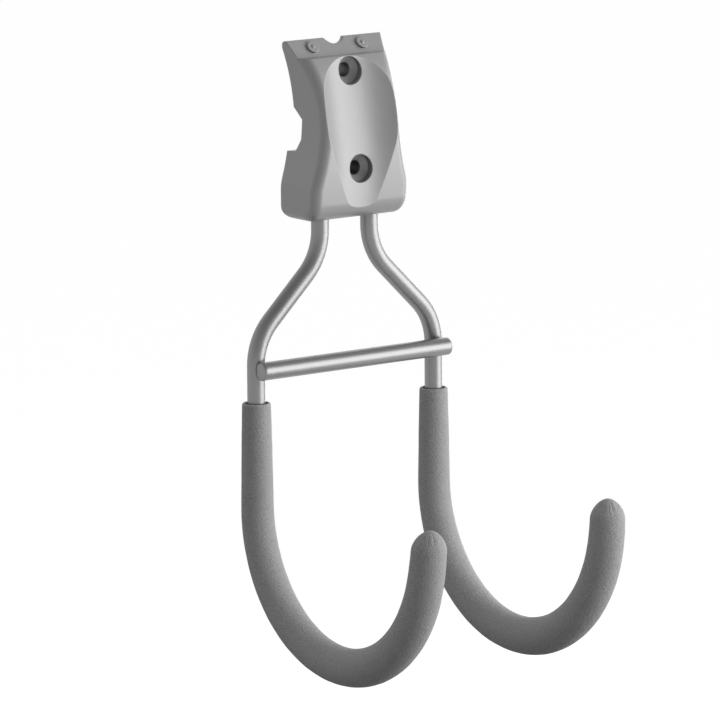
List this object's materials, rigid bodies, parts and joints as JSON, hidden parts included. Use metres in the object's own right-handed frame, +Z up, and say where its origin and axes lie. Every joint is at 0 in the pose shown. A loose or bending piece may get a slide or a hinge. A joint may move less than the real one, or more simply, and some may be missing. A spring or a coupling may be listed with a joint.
{
  "type": "tool hook",
  "caption": "Wall-mounted tool hook: a moulded bracket with screw holes and a rail groove carries J-shaped rods, tied by a cross bar and padded with foam sleeves.",
  "frame": {"origin": "on the wall plane, midway between the two screw holes", "axes": "+Y into the wall, +Z up, +X to the right for a viewer who faces the wall"},
  "size_m": [0.1152, 0.1426, 0.2716],
  "materials": {
    "bracket_plastic": "light grey moulded plastic with a fine matt grain",
    "zinc_wire": "bright zinc-plated steel rod with a satin shine",
    "sleeve_foam": "dark grey closed-cell foam with a fine speckled skin"
  },
  "bodies": {
    "root": {"bracket": "bracket_plastic", "left_rod": "zinc_wire", "right_rod": "zinc_wire", "cross_bar": "zinc_wire", "left_sleeve": "sleeve_foam", "right_sleeve": "sleeve_foam"}
  },
  "joints": []
}
